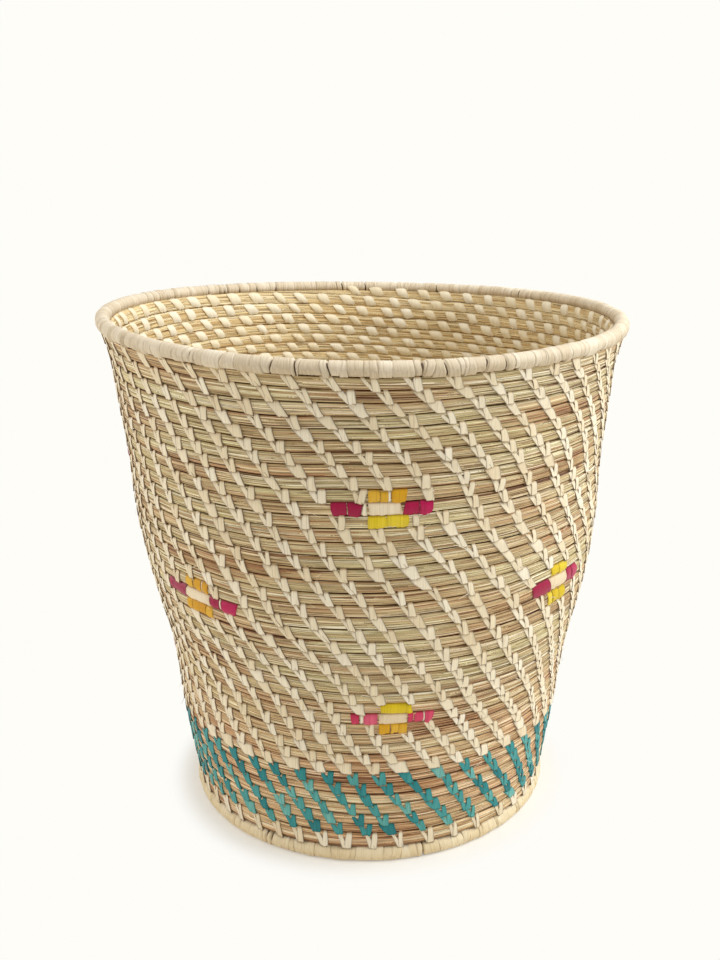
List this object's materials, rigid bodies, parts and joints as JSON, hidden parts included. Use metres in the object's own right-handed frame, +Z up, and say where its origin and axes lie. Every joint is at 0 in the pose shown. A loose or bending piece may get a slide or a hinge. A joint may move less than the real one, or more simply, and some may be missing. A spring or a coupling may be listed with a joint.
{
  "type": "woven planter",
  "caption": "Flaring coiled basket planter with a wrapped foot ring and rim, slanting rows of split stitches, a dyed band and small cross motifs.",
  "frame": {"origin": "centre of the foot ring, on the surface that the basket stands on", "axes": "+Z up along the basket's axis, -Y towards the front of the motifs"},
  "size_m": [0.299, 0.299, 0.291],
  "materials": {
    "grass": "matt",
    "palm_leaf": "satin",
    "teal_leaf": "satin",
    "golden_leaf": "satin",
    "lemon_leaf": "satin",
    "magenta_leaf": "satin",
    "rose_leaf": "satin",
    "cream_leaf": "satin"
  },
  "bodies": {
    "root": {"base_coil": "grass", "wall_coil": "grass", "foot_core": "grass", "foot_wrapping": "palm_leaf", "foot_stitching": "palm_leaf", "rim_core": "grass", "rim_wrapping": "palm_leaf", "natural_stitching": "palm_leaf", "teal_stitching": "teal_leaf", "motif_upper_1_yellow_upper": "golden_leaf", "motif_upper_1_yellow_lower": "lemon_leaf", "motif_upper_1_magenta": "magenta_leaf", "motif_upper_1_cream": "cream_leaf", "motif_upper_2_yellow_upper": "golden_leaf", "motif_upper_2_yellow_lower": "lemon_leaf", "motif_upper_2_magenta": "magenta_leaf", "motif_upper_2_cream": "cream_leaf", "motif_upper_3_yellow_upper": "golden_leaf", "motif_upper_3_yellow_lower": "lemon_leaf", "motif_upper_3_magenta": "magenta_leaf", "motif_upper_3_cream": "cream_leaf", "motif_upper_4_yellow_upper": "golden_leaf", "motif_upper_4_yellow_lower": "lemon_leaf", "motif_upper_4_magenta": "magenta_leaf", "motif_upper_4_cream": "cream_leaf", "motif_middle_1_yellow_upper": "golden_leaf", "motif_middle_1_yellow_lower": "golden_leaf", "motif_middle_1_magenta": "magenta_leaf", "motif_middle_1_cream": "cream_leaf", "motif_middle_2_yellow_upper": "golden_leaf", "motif_middle_2_yellow_lower": "golden_leaf", "motif_middle_2_magenta": "magenta_leaf", "motif_middle_2_cream": "cream_leaf", "motif_middle_3_yellow_upper": "golden_leaf", "motif_middle_3_yellow_lower": "golden_leaf", "motif_middle_3_magenta": "magenta_leaf", "motif_middle_3_cream": "cream_leaf", "motif_middle_4_yellow_upper": "golden_leaf", "motif_middle_4_yellow_lower": "golden_leaf", "motif_middle_4_magenta": "magenta_leaf", "motif_middle_4_cream": "cream_leaf", "motif_lower_1_yellow_upper": "lemon_leaf", "motif_lower_1_yellow_lower": "golden_leaf", "motif_lower_1_magenta": "rose_leaf", "motif_lower_1_cream": "cream_leaf", "motif_lower_2_yellow_upper": "lemon_leaf", "motif_lower_2_yellow_lower": "golden_leaf", "motif_lower_2_magenta": "rose_leaf", "motif_lower_2_cream": "cream_leaf", "motif_lower_3_yellow_upper": "lemon_leaf", "motif_lower_3_yellow_lower": "golden_leaf", "motif_lower_3_magenta": "rose_leaf", "motif_lower_3_cream": "cream_leaf", "motif_lower_4_yellow_upper": "lemon_leaf", "motif_lower_4_yellow_lower": "golden_leaf", "motif_lower_4_magenta": "rose_leaf", "motif_lower_4_cream": "cream_leaf"}
  },
  "joints": []
}
